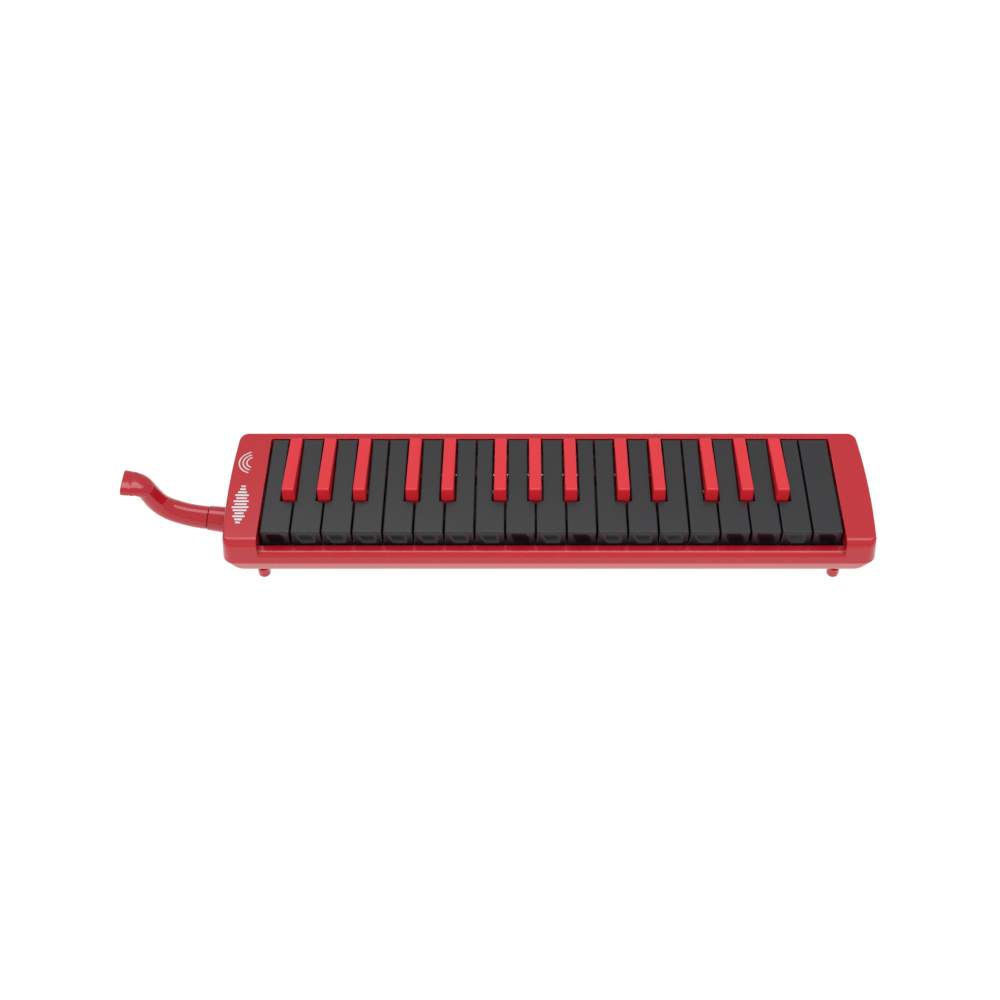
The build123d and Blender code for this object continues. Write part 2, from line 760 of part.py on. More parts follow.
def tube_solid(radius, start, tip_x, tip_y):
    with BuildPart() as tube:
        with BuildLine(tube_plane) as path:
            first = Line((start, 0), bend_start)
            gentle = TangentArc(first @ 1, gentle_end, tangent=first % 1)
            steep = TangentArc(gentle @ 1, steep_end, tangent=gentle % 1)
            middle = Line(steep @ 1, middle_end)
            TangentArc(middle @ 1, tip_start, tangent=middle % 1)
        with BuildSketch(Plane(origin=path.line @ 0, z_dir=path.line % 0)):
            Circle(radius)
        sweep()
        flare = Plane(origin=path.line @ 1, x_dir=socket.x_dir, z_dir=socket.z_dir)
        with BuildSketch(flare):
            Circle(radius)
        with BuildSketch(flare.offset(tip_run / 2)):
            Ellipse(tip_x, tip_y)
        loft()
        with BuildSketch(flare.offset(tip_run / 2)):
            Ellipse(tip_x, tip_y)
        extrude(amount=tip_run / 2)
    return tube.part


with BuildPart() as mouth_tube:
    shoulder = collar_length + shoulder_gap
    add(tube_solid(tube_radius, shoulder, tip_width / 2, tip_thick / 2))
    with BuildSketch(socket.offset(shoulder)):
        Circle(swivel_radius)
    extrude(amount=-swivel_length - shoulder_gap)
    bore_start = shoulder + tube_wall
    bore = tube_solid(tube_radius - tube_wall, bore_start, tip_width / 2 - tip_wall, tip_slot / 2)
    add(bore, mode=Mode.SUBTRACT)
    with BuildSketch(socket.offset(collar_length)):
        Circle(ferrule_bore)
    extrude(amount=swivel_length, both=True, mode=Mode.SUBTRACT)
write(mouth_tube.part, "mouth_tube")

# Drain valve: a cup shaped button under the case, its stem up through the chest floor, and a seal
valve = (keys_x + valve_x, valve_y)
chest_floor_z = chest_bottom_z + chest_floor
with BuildPart() as valve_button:
    with BuildSketch(Plane.XY.offset(button_bottom_z)):
        with Locations(valve):
            Circle(button_radius)
    extrude(amount=button_top_z - button_bottom_z)
    fillet(valve_button.edges().group_by(Axis.Z)[0], radius=button_wall / 2)
    with BuildSketch(Plane.XY.offset(button_bottom_z + 1.5 * button_wall)):
        with Locations(valve):
            Circle(button_radius - button_wall)
    extrude(amount=button_top_z, mode=Mode.SUBTRACT)
    with BuildSketch(Plane.XY.offset(button_bottom_z + button_wall)):
        with Locations(valve):
            Circle(valve_stem_radius)
    extrude(amount=chest_floor_z + 2 * valve_seal_thick - button_bottom_z - button_wall)
write(valve_button.part, "drain_button")

with BuildPart() as valve_seal:
    with BuildSketch(Plane.XY.offset(chest_floor_z)):
        with Locations(valve):
            Circle(valve_seal_radius)
            Circle(valve_stem_radius, mode=Mode.SUBTRACT)
    extrude(amount=valve_seal_thick)
write(valve_seal.part, "drain_seal")

with BuildPart() as valve_spring:
    with BuildSketch(Plane.XY.offset(button_bottom_z + 1.5 * button_wall)):
        with Locations(valve):
            Circle(valve_spring_radius)
            Circle(valve_spring_radius - spring_wire, mode=Mode.SUBTRACT)
    extrude(amount=chest_bottom_z - button_bottom_z - 1.5 * button_wall)
write(valve_spring.part, "drain_spring")


def screw_group(places, head_z, tip_z):
    # Round headed screws driven upwards
    with BuildPart() as group:
        with BuildSketch(Plane.XY.offset(head_z)):
            with Locations(*places):
                Circle(screw_head_radius)
        extrude(amount=-screw_head)
        fillet(group.edges().group_by(Axis.Z)[0], radius=screw_head / 2)
        with BuildSketch(Plane.XY.offset(head_z)):
            with Locations(*places):
                Circle(screw_radius)
        extrude(amount=tip_z - head_z)
    return group.part


chest_screw_places = [(x, lug_y) for x in lug_places]
write(screw_group(chest_screw_places, base_z + screw_head, chest_bottom_z + lug_height), "chest_screws")
write(screw_group(case_screw_places, base_z + 2 * screw_head, deck_z - 4 * wall), "case_screws")

# Hand strap lying flat under the case, with a screwed plate over each end
strap_end = strap_length / 2 - anchor_length / 2
with BuildPart() as hand_strap:
    with BuildSketch(Plane.XY.offset(base_z - strap_thick)):
        with Locations((case_x, 0)):
            RectangleRounded(strap_length, strap_width, corner_radius / 4)
    extrude(amount=strap_thick)
write(hand_strap.part, "hand_strap")

with BuildPart() as strap_plates:
    with BuildSketch(Plane.XY.offset(base_z - strap_thick)):
        with Locations(*[(case_x + i * strap_end, 0) for i in (-1, 1)]):
            RectangleRounded(anchor_length, strap_width, corner_radius / 4)
    extrude(amount=-anchor_thick)
    fillet(strap_plates.edges().group_by(Axis.Z)[0], radius=anchor_thick / 2)
write(strap_plates.part, "strap_plates")
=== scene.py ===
import math
import bpy
import bmesh
from mathutils import Matrix, Vector


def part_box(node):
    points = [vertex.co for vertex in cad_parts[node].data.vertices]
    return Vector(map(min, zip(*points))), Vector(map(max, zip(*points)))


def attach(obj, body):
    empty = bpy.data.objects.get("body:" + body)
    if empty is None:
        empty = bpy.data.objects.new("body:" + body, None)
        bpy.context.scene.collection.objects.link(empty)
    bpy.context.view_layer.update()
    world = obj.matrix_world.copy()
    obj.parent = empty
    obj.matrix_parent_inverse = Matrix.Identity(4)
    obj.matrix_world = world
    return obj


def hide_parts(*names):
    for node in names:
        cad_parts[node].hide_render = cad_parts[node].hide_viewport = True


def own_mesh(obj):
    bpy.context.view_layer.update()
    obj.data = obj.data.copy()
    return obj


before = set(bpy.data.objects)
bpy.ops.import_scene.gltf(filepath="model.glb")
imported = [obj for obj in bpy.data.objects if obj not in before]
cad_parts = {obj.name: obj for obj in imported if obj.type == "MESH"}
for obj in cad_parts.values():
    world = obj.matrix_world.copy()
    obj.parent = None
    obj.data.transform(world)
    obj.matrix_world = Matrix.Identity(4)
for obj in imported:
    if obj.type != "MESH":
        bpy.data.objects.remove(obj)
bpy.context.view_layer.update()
mm = 0.001
up = Vector((0, 0, 1))


def nodeBox(name):
    low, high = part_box(name)
    return Vector(low), Vector(high)


def middle(name):
    low, high = nodeBox(name)
    return (low + high) / 2


# places that everything else is measured from
keyNodes = [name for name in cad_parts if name.startswith("key_") and name[4] in "ABCDEFG"]
naturals = sorted((name for name in keyNodes if not name.endswith("sharp")), key=lambda n: nodeBox(n)[0].x)
sharps = sorted((name for name in keyNodes if name.endswith("sharp")), key=lambda n: nodeBox(n)[0].x)
keyboardX = middle("key_axle").x
caseLow, caseHigh = nodeBox("top_case")
caseX = (caseLow.x + caseHigh.x) / 2
halfLength = (caseHigh.x - caseLow.x) / 2
halfDepth = (caseHigh.y - caseLow.y) / 2
partingZ = caseLow.z
deckZ = caseHigh.z
baseZ = nodeBox("hand_strap")[1].z
axleY = middle("key_axle").y
axleZ = middle("key_axle").z
print("frame loaded:", len(naturals), "naturals,", len(sharps), "sharps")


# camera and light
view = {
    "fromKeys": (-17.57, -631.88, 759.9),  # millimetres from the middle of the keyboard
    "downTilt": 49.12,
    "lens": 52.04,
    "shift": -0.024,
}
camera = bpy.data.objects.new("camera", bpy.data.cameras.new("camera"))
bpy.context.collection.objects.link(camera)
camera.location = Vector(view["fromKeys"]) * mm + Vector((keyboardX, 0, 0))
camera.rotation_euler = (math.radians(90 - view["downTilt"]), 0, 0)
camera.data.lens = view["lens"]
camera.data.sensor_width = 36
camera.data.shift_x = view["shift"]
bpy.context.scene.camera = camera

studio = {
    "sky": 0.62,
    "floorColour": (0.02, 0.02, 0.02, 1),
    "floorGlow": 1.0,
    "lamps": [  # name, place, aim, size, power in watts
        ("overhead", (0.1, 0.35, 1.3), (0, 0, 0), (1.6, 0.7), 9),
        ("front", (-0.3, -1.4, 0.9), (0, 0, 0.02), (1.4, 0.5), 10),
    ],
}
world = bpy.data.worlds.new("studio")
world.use_nodes = True
world.node_tree.nodes["Background"].inputs["Color"].default_value = (1, 1, 1, 1)
world.node_tree.nodes["Background"].inputs["Strength"].default_value = studio["sky"]
bpy.context.scene.world = world
bpy.context.scene.view_settings.view_transform = "Standard"
for name, place, aim, size, power in studio["lamps"]:
    lamp = bpy.data.lights.new(name, "AREA")
    lamp.shape = "RECTANGLE"
    lamp.size, lamp.size_y = size
    lamp.energy = power
    holder = bpy.data.objects.new(name, lamp)
    holder.location = place
    holder.visible_glossy = name == "overhead"
    holder.rotation_euler = (Vector(aim) - Vector(place)).to_track_quat("-Z", "Y").to_euler()
    bpy.context.collection.objects.link(holder)


# shader maths
class Socket:
    def __init__(self, shader, link):
        self.shader = shader
        self.link = link

    def maths(self, operation, other, swapped=False):
        pair = (other, self) if swapped else (self, other)
        return self.shader.node("ShaderNodeMath", {"operation": operation}, {0: pair[0], 1: pair[1]})

    def __add__(self, other):
        return self.maths("ADD", other)

    def __radd__(self, other):
        return self.maths("ADD", other)

    def __sub__(self, other):
        return self.maths("SUBTRACT", other)

    def __rsub__(self, other):
        return self.maths("SUBTRACT", other, True)

    def __mul__(self, other):
        return self.maths("MULTIPLY", other)

    def __rmul__(self, other):
        return self.maths("MULTIPLY", other)

    def __truediv__(self, other):
        return self.maths("DIVIDE", other)

    def __gt__(self, other):
        return self.maths("GREATER_THAN", other)

    def __lt__(self, other):
        return self.maths("LESS_THAN", other)


class Shader:
    def __init__(self, name, colour, roughness, **fixed):
        self.material = bpy.data.materials.new(name)
        self.material.use_nodes = True
        self.tree = self.material.node_tree
        self.surface = self.tree.nodes["Principled BSDF"]
        self.surface.inputs["Base Color"].default_value = (*colour, 1)
        self.surface.inputs["Roughness"].default_value = roughness
        for socketName, value in fixed.items():
            self.surface.inputs[socketName.replace("_", " ")].default_value = value
        self.material.diffuse_color = (*colour, 1)

    def node(self, kind, settings=None, inputs=None, output=0):
        made = self.tree.nodes.new(kind)
        for key, value in (settings or {}).items():
            if key == "stops":
                ramp = made.color_ramp.elements
                while len(ramp) < len(value):
                    ramp.new(0.5)
                for stop, (place, colour) in zip(ramp, value):
                    stop.position = place
                    stop.color = colour
            else:
                setattr(made, key, value)
        for key, value in (inputs or {}).items():
            if isinstance(value, Socket):
                self.tree.links.new(value.link, made.inputs[key])
            else:
                made.inputs[key].default_value = value
        return Socket(self, made.outputs[output])

    def place(self):
        return self.node("ShaderNodeTexCoord", output="Object")

    def axes(self, place=None):
        place = place or self.place()
        split = self.tree.nodes.new("ShaderNodeSeparateXYZ")
        self.tree.links.new(place.link, split.inputs[0])
        return [Socket(self, split.outputs[i]) for i in range(3)]

    def noise(self, scale, detail=3, rough=0.5, place=None):
        return self.node("ShaderNodeTexNoise", {}, {
            "Vector": place or self.place(), "Scale": scale, "Detail": detail, "Roughness": rough,
        })

    def between(self, value, low, high, newLow, newHigh):
        return self.node("ShaderNodeMapRange", {"clamp": True}, {
            0: value, 1: low, 2: high, 3: newLow, 4: newHigh,
        })

    def mix(self, mask, first, second):
        made = self.tree.nodes.new("ShaderNodeMix")
        made.data_type = "RGBA"
        for place, value in ((0, mask), (6, first), (7, second)):
            if isinstance(value, Socket):
                self.tree.links.new(value.link, made.inputs[place])
            else:
                made.inputs[place].default_value = value
        return Socket(self, made.outputs[2])

    def feed(self, socketName, value):
        self.tree.links.new(value.link, self.surface.inputs[socketName])

    def bump(self, height, strength, distance, under=None):
        inputs = {"Height": height, "Strength": strength, "Distance": distance}
        if under:
            inputs["Normal"] = under
        made = self.node("ShaderNodeBump", {}, inputs)
        self.feed("Normal", made)
        return made


def tint(colour, factor):
    return tuple(min(1, c * factor) for c in colour) + (1,)


def mouldedPlastic(name, colour, roughness, wave=0.00002, coat=0.0, drift=0.08):
    # smooth moulded plastic: slow colour drift, faint flow ripples, dust-fine roughness changes
    shader = Shader(name, colour, roughness, Specular_IOR_Level=0.5, Coat_Weight=coat, Coat_Roughness=0.06)
    slow = shader.noise(9, 2)
    shader.feed("Base Color", shader.mix(slow, tint(colour, 1 - drift), tint(colour, 1 + drift)))
    fine = shader.noise(900, 4, 0.6)
    patches = shader.noise(35, 3)
    shader.feed("Roughness", roughness * (0.86 + 0.16 * fine + 0.12 * patches))
    ripple = shader.bump(shader.noise(60, 2), 0.35, wave)
    shader.bump(fine, 0.12, wave / 2, ripple)
    return shader


reds = {"case": (0.46, 0.007, 0.016), "sharp": (0.68, 0.016, 0.028), "mouth": (0.42, 0.006, 0.016)}
casePlastic = mouldedPlastic("case_red", reds["case"], 0.2, coat=0.25).material
sharpPlastic = mouldedPlastic("sharp_red", reds["sharp"], 0.3, coat=0.1).material
mouthPlastic = mouldedPlastic("mouthpiece_red", reds["mouth"], 0.14, coat=0.3).material
naturalPlastic = mouldedPlastic("natural_black", (0.010, 0.0095, 0.012), 0.34, coat=0.08, drift=0.2).material
print("first materials made")


# mesh helpers
def addPiece(name, bm, materials, body, replaced=(), sharpAngle=35):
    bmesh.ops.recalc_face_normals(bm, faces=bm.faces)
    mesh = bpy.data.meshes.new(name)
    bm.to_mesh(mesh)
    bm.free()
    for material in materials:
        mesh.materials.append(material)
    piece = bpy.data.objects.new(name, mesh)
    bpy.context.collection.objects.link(piece)
    mesh.polygons.foreach_set("use_smooth", [True] * len(mesh.polygons))
    mesh.set_sharp_from_angle(angle=math.radians(sharpAngle))
    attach(piece, body)
    if replaced:
        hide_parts(*replaced)
    return piece


def evenNormals(piece):
    weighted = piece.modifiers.new("evenNormals", "WEIGHTED_NORMAL")
    weighted.keep_sharp = True
    weighted.weight = 80


def bevelEdges(bm, edges, width, segments=3):
    bmesh.ops.bevel(
        bm, geom=list(edges), offset=width, offset_type="OFFSET", affect="EDGES",
        segments=segments, profile=0.5, material=-1, clamp_overlap=True,
    )


def uprights(verts):
    edges = dict.fromkeys(e for v in verts for e in v.link_edges)
    return [e for e in edges if abs(e.verts[0].co.z - e.verts[1].co.z) > 1e-6]


def block(bm, low, high, materialIndex=0):
    made = bmesh.ops.create_cube(bm, size=1)
    size = Vector(high) - Vector(low)
    bmesh.ops.scale(bm, verts=made["verts"], vec=size)
    bmesh.ops.translate(bm, verts=made["verts"], vec=(Vector(high) + Vector(low)) / 2)
    for face in {f for v in made["verts"] for f in v.link_faces}:
        face.material_index = materialIndex
    return made["verts"]


def lathe(bm, profile, matrix, steps=48):
    # profile: (radius, height) points turned about the local Z of the matrix
    before = set(bm.verts)
    verts = [bm.verts.new((r, 0, z)) for r, z in profile]
    edges = [bm.edges.new(pair) for pair in zip(verts, verts[1:])]
    bmesh.ops.spin(
        bm, geom=verts + edges, cent=(0, 0, 0), axis=(0, 0, 1), angle=math.tau, steps=steps, use_merge=True
    )
    made = [v for v in bm.verts if v not in before]
    bmesh.ops.remove_doubles(bm, verts=made, dist=1e-6)
    made = [v for v in bm.verts if v not in before]
    bmesh.ops.transform(bm, matrix=matrix, verts=made)
    return made


# keys
keyShape = {
    "skirt": 5.0,        # how far the sides of the top come down
    "frontSkirt": 12.0,  # the same at the front, where the key shows
    "wall": 1.4,
    "bow": 0.45,         # how far the front edge bows out in the middle
    "topRound": 0.9,
    "cornerRound": 0.7,
    "frontRound": 1.1,
    "notchGap": 0.8,
    "sharpBase": 8.6,
    "sharpTop": 8.0,
    "rake": 1.4,
    "padHeight": 2.5,
}
notchFront = nodeBox(sharps[0])[0].y - mm
keyTop = nodeBox(naturals[0])[1].z
apronRear = -19.5 * mm


def addWorks(bm, name, x, roof):
    # web, hub and pad under a key, as in the frame's own key
    low, high = nodeBox(name)
    bottom = low.z + keyShape["padHeight"] * mm
    hub = 2.8 * mm
    web = 3 * mm
    block(bm, (x - web, axleY + hub, bottom), (x + web, high.y - 0.2 * mm, roof + 0.4 * mm))
    block(bm, (x - web, axleY - 2 * hub, bottom + mm), (x + web, axleY + hub, roof + 0.4 * mm))
    turn = Matrix.Translation((x - web, axleY, axleZ)) @ Matrix.Rotation(math.pi / 2, 4, "Y")
    lathe(bm, [(1.55 * mm, 0), (hub, 0), (hub, 2 * web), (1.55 * mm, 2 * web), (1.55 * mm, 0)], turn, 24)
    pad = block(bm, (x - 3.75 * mm, 29.5 * mm, low.z), (x + 3.75 * mm, 39.5 * mm, bottom), 1)
    padEdges = dict.fromkeys(e for v in pad for e in v.link_edges)
    bevelEdges(bm, padEdges, 0.5 * mm, 2)
    block(bm, (x - 3.75 * mm, 29.5 * mm, bottom), (x + 3.75 * mm, 39.5 * mm, bottom + 1.4 * mm))


def makeNatural(name, felt):
    low, high = nodeBox(name)
    x = (low.x + high.x) / 2
    half = (high.x - low.x) / 2
    sides = [x - half, x + half]
    notch = (keyShape["sharpBase"] / 2 + keyShape["notchGap"]) * mm
    for sharp in sharps:
        sharpX = middle(sharp).x
        if abs(sharpX - x) < half + notch:
            if sharpX < x:
                sides[0] = sharpX + notch
            else:
                sides[1] = sharpX - notch
    bm = bmesh.new()
    outline = []
    steps = 6
    for i in range(steps + 1):
        share = 2 * i / steps - 1
        bow = keyShape["bow"] * mm * (1 - share * share)
        outline.append((x + share * half, low.y + (keyShape["bow"] * mm - bow)))
    if sides[1] < x + half:
        outline += [(x + half, notchFront), (sides[1], notchFront)]
    outline += [(sides[1], high.y), (sides[0], high.y)]
    if sides[0] > x - half:
        outline += [(sides[0], notchFront), (x - half, notchFront)]
    top = bm.faces.new([bm.verts.new((px, py, keyTop)) for px, py in outline])
    down = bmesh.ops.extrude_face_region(bm, geom=[top])
    lowered = [g for g in down["geom"] if isinstance(g, bmesh.types.BMVert)]
    skirtZ = keyTop - keyShape["skirt"] * mm
    for v in lowered:
        v.co.z = skirtZ
    bmesh.ops.bisect_plane(
        bm, geom=bm.verts[:] + bm.edges[:] + bm.faces[:], plane_co=(0, apronRear, 0), plane_no=(0, 1, 0)
    )
    bm.normal_update()
    under = [f for f in bm.faces if abs(f.calc_center_median().z - skirtZ) < 1e-6]
    front = [f for f in under if f.calc_center_median().y < apronRear]
    rear = [f for f in under if f not in front]
    dropped = bmesh.ops.extrude_face_region(bm, geom=front)
    frontZ = keyTop - keyShape["frontSkirt"] * mm
    front = [g for g in dropped["geom"] if isinstance(g, bmesh.types.BMFace)]
    for v in (g for g in dropped["geom"] if isinstance(g, bmesh.types.BMVert)):
        v.co.z = frontZ
    bmesh.ops.recalc_face_normals(bm, faces=bm.faces)
    roof = keyTop - 2.2 * mm
    for pocket in front + rear:
        bmesh.ops.inset_region(bm, faces=[pocket], thickness=keyShape["wall"] * mm, use_even_offset=True)
        raised = bmesh.ops.extrude_face_region(bm, geom=[pocket])
        for v in (g for g in raised["geom"] if isinstance(g, bmesh.types.BMVert)):
            v.co.z = roof
    bmesh.ops.recalc_face_normals(bm, faces=bm.faces)
    rim = [
        e for e in bm.edges
        if all(abs(v.co.z - keyTop) < 1e-6 for v in e.verts) and e.calc_face_angle(0) > 0.8
    ]
    bevelEdges(bm, rim, keyShape["topRound"] * mm, 4)
    posts = [
        e for e in bm.edges
        if abs(e.verts[0].co.x - e.verts[1].co.x) < 1e-6 and abs(e.verts[0].co.y - e.verts[1].co.y) < 1e-6
        and min(v.co.y for v in e.verts) < low.y + 0.6 * mm and e.calc_face_angle(0) > 0.8
    ]
    bevelEdges(bm, posts, keyShape["cornerRound"] * mm, 3)
    addWorks(bm, name, sum(sides) / 2, roof)
    piece = addPiece(name + "_look", bm, [naturalPlastic, felt], name, [name])
    evenNormals(piece)
    return piece


def makeSharp(name, felt):
    low, high = nodeBox(name)
    x = (low.x + high.x) / 2
    front, rear = low.y, high.y
    topFront = high.z
    slope = math.tan(math.radians(7))
    rearTop = topFront - (rear - front) * slope
    skirtZ = keyTop - keyShape["skirt"] * mm
    bm = bmesh.new()
    made = bmesh.ops.create_cube(bm, size=1)
    for v in made["verts"]:
        isTop, isRear = v.co.z > 0, v.co.y > 0
        wide = keyShape["sharpTop"] if isTop else keyShape["sharpBase"]
        v.co.x = x + math.copysign(wide * mm / 2, v.co.x)
        v.co.z = (rearTop if isRear else topFront) if isTop else skirtZ
        v.co.y = rear if isRear else front + (keyShape["rake"] * mm if isTop else 0)
    under = [f for f in bm.faces if f.normal.z < -0.9 or abs(f.calc_center_median().z - skirtZ) < 1e-6]
    roof = keyTop - 2.2 * mm
    for pocket in under:
        bmesh.ops.inset_region(bm, faces=[pocket], thickness=keyShape["wall"] * mm, use_even_offset=True)
        raised = bmesh.ops.extrude_face_region(bm, geom=[pocket])
        for v in (g for g in raised["geom"] if isinstance(g, bmesh.types.BMVert)):
            v.co.z = roof
    bmesh.ops.recalc_face_normals(bm, faces=bm.faces)
    rounded = [e for e in bm.edges if max(v.co.z for v in e.verts) > keyTop + mm and min(
        v.co.z for v in e.verts) > skirtZ - 1e-6]
    bevelEdges(bm, rounded, keyShape["frontRound"] * mm, 4)
    addWorks(bm, name, x, roof)
    piece = addPiece(name + "_look", bm, [sharpPlastic, felt], name, [name])
    evenNormals(piece)
    return piece


def makeFelt(name, colour):
    shader = Shader(name, colour, 0.95, Sheen_Weight=0.4)
    fibres = shader.noise(1800, 5, 0.7)
    tufts = shader.noise(260, 4, 0.6)
    shader.feed("Base Color", shader.mix(tufts * 0.6 + fibres * 0.4, tint(colour, 0.55), tint(colour, 1.35)))
    shader.bump(fibres * 0.6 + tufts * 0.4, 0.7, 0.0002)
    return shader.material


padFelt = makeFelt("pad_felt", (0.42, 0.38, 0.33))
for name in naturals:
    makeNatural(name, padFelt)
for name in sharps:
    makeSharp(name, padFelt)
print("keys made")


# case: two closed hulls, hollowed and cut
caseShape = {
    "endBow": 2.3,
    "corner": 7.0,
    "upperTaper": 6.5,
    "rearTaper": 2.0,
    "lowerTaper": 19.0,
    "lowerRound": 20.0,
    "deckRound": 1.2,
    "cheekRound": 5.0,
    "railTop": 32.7,
    "railRound": 4.0,
    "seam": 0.25,
    "wall": 2.2,
    "sideGap": 1.9,
    "frontGap": 1.5,
    "rearGap": 1.9,
    "rimRound": 0.6,
    "studRadius": 4.0,
    "studRound": 1.5,
    "studInset": (25.0, 11.4),
    "bossRadius": 4.0,
    "screwRecess": 2.9,
    "valveHole": 4.7,
}


def looseObject(bm):
    bmesh.ops.recalc_face_normals(bm, faces=bm.faces)
    mesh = bpy.data.meshes.new("tool")
    bm.to_mesh(mesh)
    bm.free()
    made = bpy.data.objects.new("tool", mesh)
    bpy.context.collection.objects.link(made)
    return made


def applyModifiers(piece):
    graph = bpy.context.evaluated_depsgraph_get()
    graph.update()
    made = bpy.data.meshes.new_from_object(piece.evaluated_get(graph))
    old = piece.data
    piece.modifiers.clear()
    piece.data = made
    bpy.data.meshes.remove(old)


def carve(piece, tools, operation="DIFFERENCE"):
    for tool in tools:
        step = piece.modifiers.new("carve", "BOOLEAN")
        step.operation = operation
        step.solver = "EXACT"
        step.object = tool
    applyModifiers(piece)
    for tool in tools:
        bpy.data.objects.remove(tool)


def cylinder(place, axis, radius, length, steps=40):
    # stands on its place and runs along the axis
    bm = bmesh.new()
    axis = Vector(axis)
    turn = axis.to_track_quat("Z", "Y").to_matrix().to_4x4()
    centre = Vector(place) + axis.normalized() * length / 2
    bmesh.ops.create_cone(
        bm, cap_ends=True, segments=steps, radius1=radius, radius2=radius, depth=length,
        matrix=Matrix.Translation(centre) @ turn,
    )
    return looseObject(bm)


def box(low, high):
    bm = bmesh.new()
    block(bm, low, high)
    return looseObject(bm)


def caseHull(levels, scaled=False):
    # the case's plan stacked through levels of (height, end inset, front inset, rear inset);
    # an inset larger than the corners' radius has to be scaled in, or the corners cross over
    bm = bmesh.new()
    planX, planY, outX, outY = (bm.verts.layers.float.new(n) for n in ("planX", "planY", "outX", "outY"))
    bow = caseShape["endBow"] * mm
    radius = (halfDepth ** 2 + bow ** 2) / (2 * bow)
    steps = 10
    points = []
    for side in (1, -1):
        for i in range(steps + 1):
            y = side * (2 * i / steps - 1) * halfDepth
            points.append((caseX + side * (halfLength - radius + math.sqrt(radius ** 2 - y ** 2)), y))
    bm.faces.new([bm.verts.new((x, y, 0)) for x, y in points])
    corners = [v for v in bm.verts if abs(abs(v.co.y) - halfDepth) < 1e-6]
    bmesh.ops.bevel(
        bm, geom=corners, offset=caseShape["corner"] * mm, offset_type="OFFSET", affect="VERTICES",
        segments=8, profile=0.5, material=-1,
    )
    plan = bm.faces[:][0]
    plan.normal_update()
    for loop in plan.loops:
        v = loop.vert
        ahead = (loop.link_loop_next.vert.co - v.co).normalized()
        behind = (v.co - loop.link_loop_prev.vert.co).normalized()
        out = (ahead + behind).normalized().cross(plan.normal)
        v[planX], v[planY], v[outX], v[outY] = v.co.x, v.co.y, out.x, out.y

    def place(verts, level):
        z, ends, front, rear = level
        for v in verts:
            x, y = v[planX] - caseX, v[planY]
            if scaled:
                v.co = (caseX + x * (1 - ends / halfLength), y * (1 - front / halfDepth), z)
            else:
                v.co = (caseX + x - v[outX] * ends, y - v[outY] * (front if v[outY] < 0 else rear), z)

    place(bm.verts, levels[0])
    rim = bm.edges[:]
    bmesh.ops.delete(bm, geom=[plan], context="FACES_ONLY")
    for level in levels[1:]:
        grown = bmesh.ops.extrude_edge_only(bm, edges=rim)["geom"]
        rim = [g for g in grown if isinstance(g, bmesh.types.BMEdge)]
        place([g for g in grown if isinstance(g, bmesh.types.BMVert)], level)
    bmesh.ops.holes_fill(bm, edges=bm.edges[:])
    return bm


def rolled(rise, radius):
    # how far a quarter round has turned in, at a rise above its start
    rise = min(max(rise, 0), radius)
    return radius - math.sqrt(radius ** 2 - rise ** 2)


def upperHull(inset, top):
    s = caseShape
    end = math.tan(math.radians(s["upperTaper"]))
    rear = math.tan(math.radians(s["rearTaper"]))
    cheek = max(s["cheekRound"] * mm - inset, 0.5 * mm)
    deck = max(s["deckRound"] * mm - inset, 0.1 * mm)
    heights = [partingZ + mm, (partingZ + top) / 2]
    heights += [top - cheek * (1 - math.sin(math.radians(a))) for a in range(0, 90, 9)]
    heights += [top - deck * (1 - math.sin(math.radians(a))) for a in range(0, 91, 18)]
    seam = s["seam"] * mm
    if inset:
        levels = [(partingZ - 2 * mm, inset, inset, inset)]
    else:
        levels = [(partingZ, seam, seam, seam), (partingZ + seam, 0, 0, 0)]
    for z in sorted({round(h, 6) for h in heights}):
        lean = z - partingZ
        small = rolled(z - (top - deck), deck)
        levels.append((
            z, inset + lean * end + small, inset + lean * end + rolled(z - (top - cheek), cheek),
            inset + lean * rear + small,
        ))
    return caseHull(levels)


def lowerHull(inset):
    s = caseShape
    tilt = math.radians(s["lowerTaper"])
    centre = s["lowerRound"] * mm
    flat = (partingZ - baseZ) * math.tan(tilt) + centre * math.tan((math.pi / 2 - tilt) / 2)
    seam = s["seam"] * mm
    wall = inset / math.cos(tilt)
    if inset:
        levels = [(partingZ + mm, wall, wall, wall), (partingZ, wall, wall, wall)]
    else:
        levels = [(partingZ, seam, seam, seam), (partingZ - seam, seam / 3, seam / 3, seam / 3)]
    steps = 12
    for i in range(steps + 1):
        turn = tilt + (math.pi / 2 - tilt) * i / steps
        side = flat - (centre - inset) * math.cos(turn)
        levels.append((baseZ + centre - (centre - inset) * math.sin(turn), side, side, side))
    return caseHull(levels, scaled=True)


keysLow = nodeBox(naturals[0])[0]
keysHigh = nodeBox(naturals[-1])[1]
openX = (keysHigh.x - keysLow.x) / 2 + caseShape["sideGap"] * mm
openFront = keysLow.y - caseShape["frontGap"] * mm
openRear = keysHigh.y + caseShape["rearGap"] * mm
railTop = caseShape["railTop"] * mm


